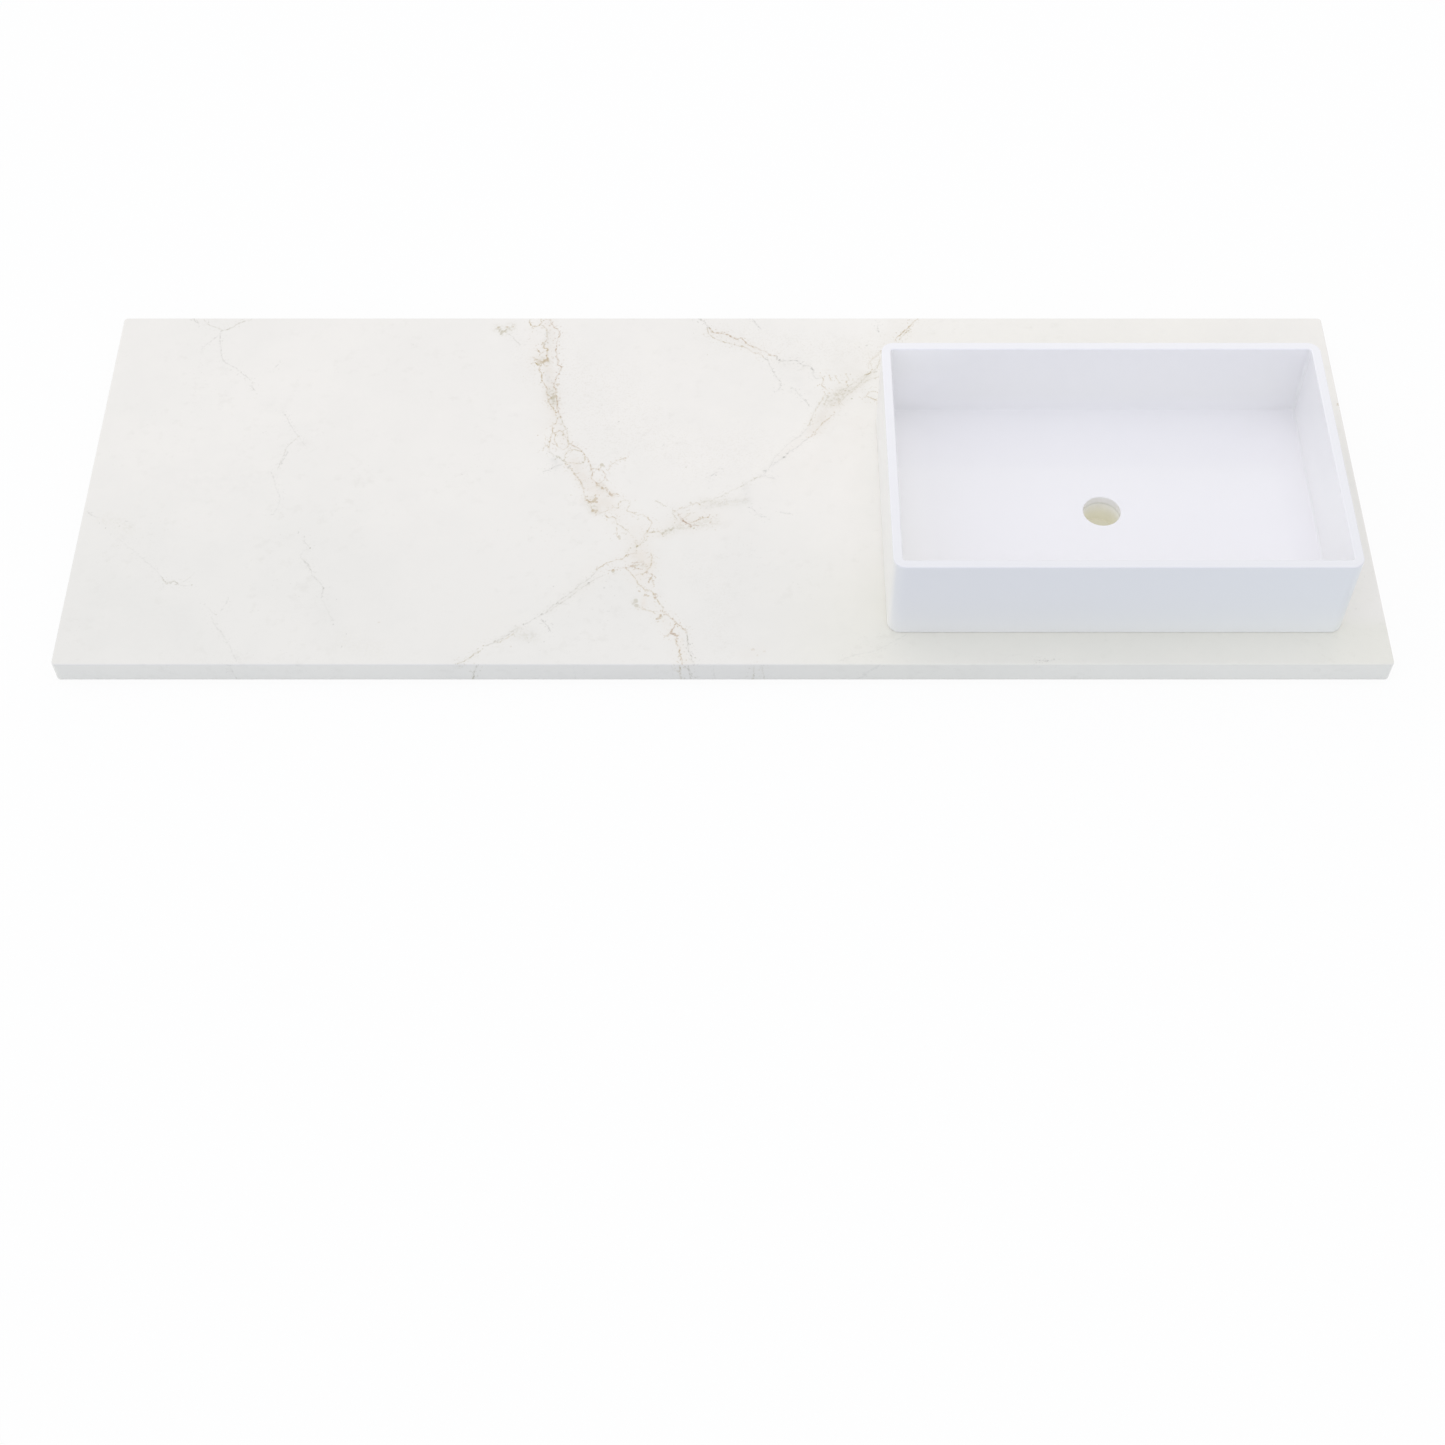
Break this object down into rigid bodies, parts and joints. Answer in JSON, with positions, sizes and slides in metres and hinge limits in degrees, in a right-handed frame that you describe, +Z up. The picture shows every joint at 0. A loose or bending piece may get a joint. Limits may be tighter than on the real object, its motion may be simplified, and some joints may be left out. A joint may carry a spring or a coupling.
{
  "type": "vanity sink top",
  "caption": "Long polished white stone vanity top with veining, with a rectangular white vessel basin bedded off-centre and bored through for a drain.",
  "frame": {"origin": "centre of the slab's plan, on its underside", "axes": "+X along the slab towards the end that carries the basin, +Y back to the wall, +Z up"},
  "size_m": [1.5494, 0.5588, 0.1503],
  "materials": {
    "polished_stone": "polished",
    "basin_glaze": "gloss",
    "silicone": "satin"
  },
  "bodies": {
    "root": {"countertop_slab": "polished_stone", "vessel_basin": "basin_glaze", "perimeter_bead": "silicone", "drain_bead": "silicone"}
  },
  "joints": []
}
